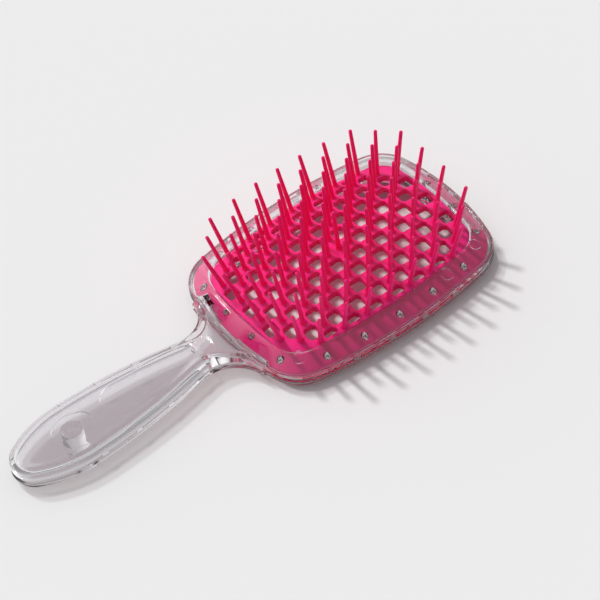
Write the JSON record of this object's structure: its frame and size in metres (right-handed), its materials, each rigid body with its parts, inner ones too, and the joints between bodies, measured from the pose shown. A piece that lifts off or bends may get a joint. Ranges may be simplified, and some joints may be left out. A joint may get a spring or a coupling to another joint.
{
  "type": "vanity hairbrush",
  "caption": "Vented paddle hairbrush: two clear shells form the handle and head ring and clamp a pink domed net with splayed round-tipped pins.",
  "frame": {"origin": "middle of the brush's bounding box, on the plane that its back ring rests on", "axes": "+X from the handle's end to the far end of the head, +Z the way the pins point, +Y across the head"},
  "size_m": [0.21, 0.085, 0.0365],
  "materials": {
    "clear_shell": "clear, polished, with a faint lavender tint",
    "pink_pad": "satin, slightly flexible"
  },
  "bodies": {
    "root": {"front_frame": "clear_shell", "back_frame": "clear_shell", "bristle_pad": "pink_pad"}
  },
  "joints": []
}
